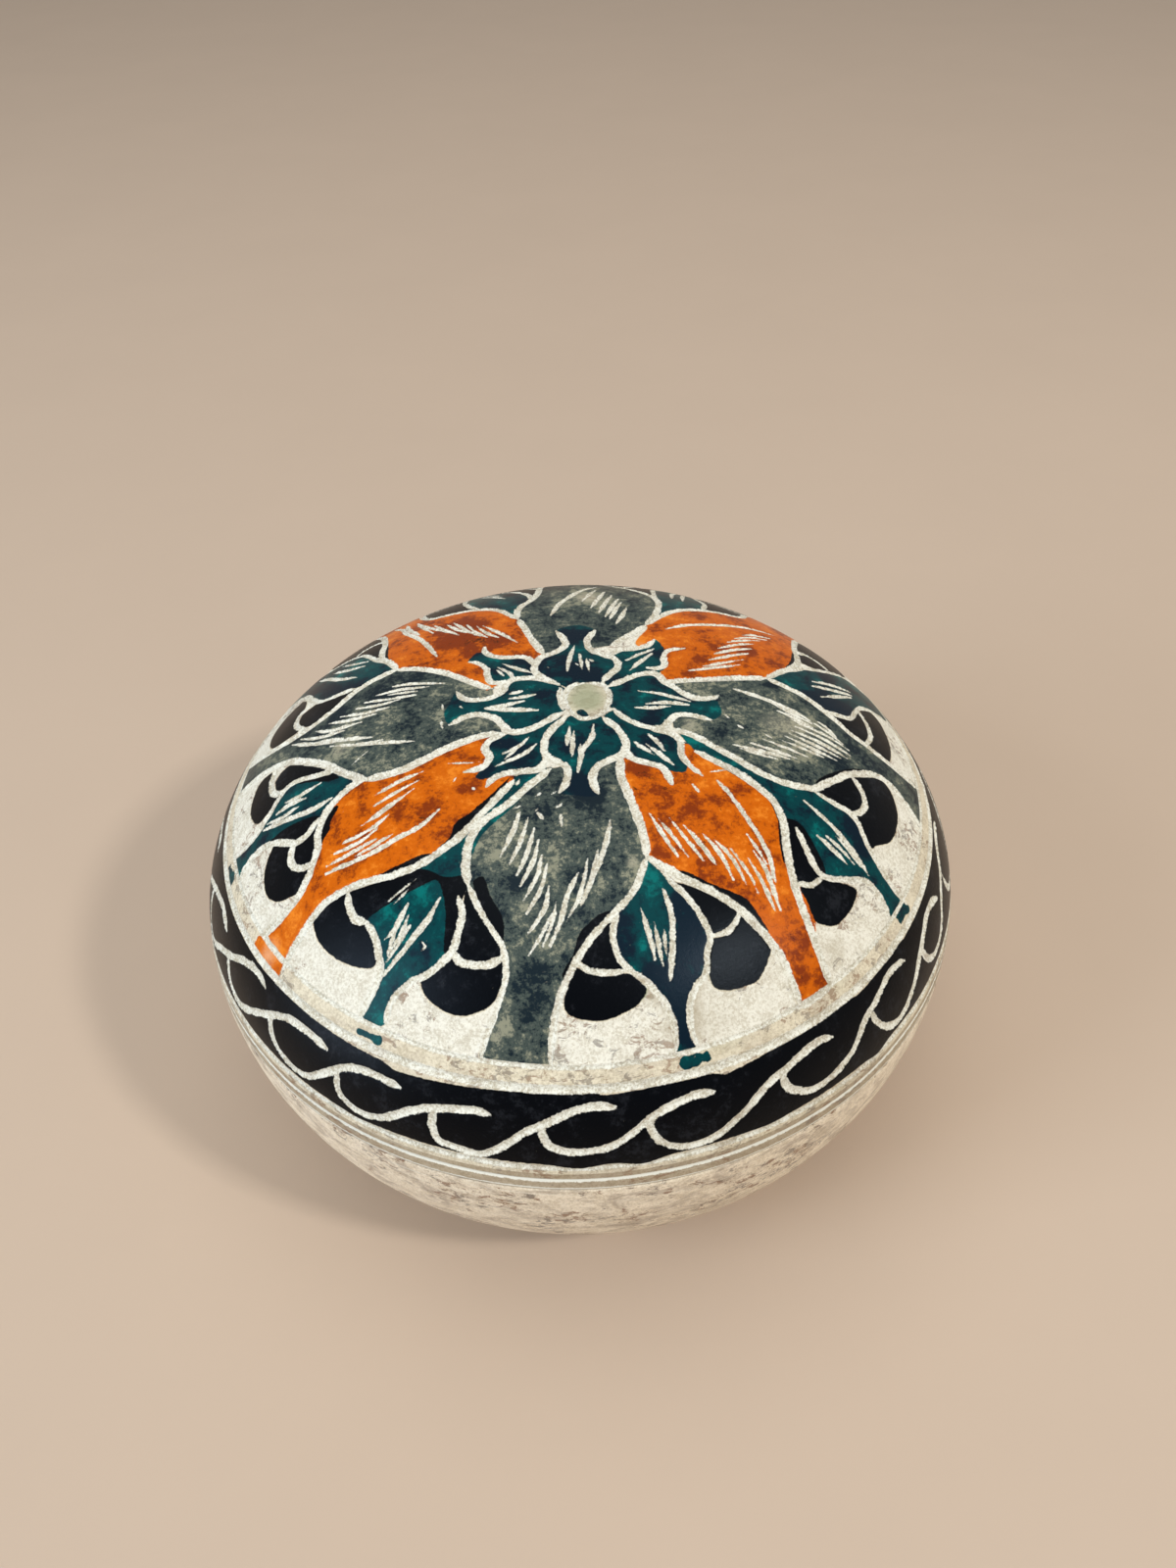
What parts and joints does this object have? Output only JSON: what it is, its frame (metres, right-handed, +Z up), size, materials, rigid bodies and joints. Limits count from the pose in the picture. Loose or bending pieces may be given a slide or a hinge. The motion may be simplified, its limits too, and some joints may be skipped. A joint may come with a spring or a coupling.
{
  "type": "soapstone box",
  "caption": "Round turned stone box with a domed lift-off lid, turned rings and a carved and painted flower, on a flat foot.",
  "frame": {"origin": "middle of the bowl's flat foot, on the surface that the box stands on", "axes": "+Z up the turning axis; -Y is the side that the picture shows nearest, with +X to its right"},
  "size_m": [0.12, 0.12, 0.0695],
  "materials": {
    "bare_stone": "brushed, low sheen",
    "painted_stone": "painted and polished, with carved lines in bare stone"
  },
  "bodies": {
    "base": {"bowl": "bare_stone"},
    "cover": {"lid": "painted_stone"}
  },
  "joints": [
    {"name": "lid_lift", "type": "slide", "parent": "base", "child": "cover", "axis": [0, 0, 1], "range_m": [0, 0.08]}
  ]
}
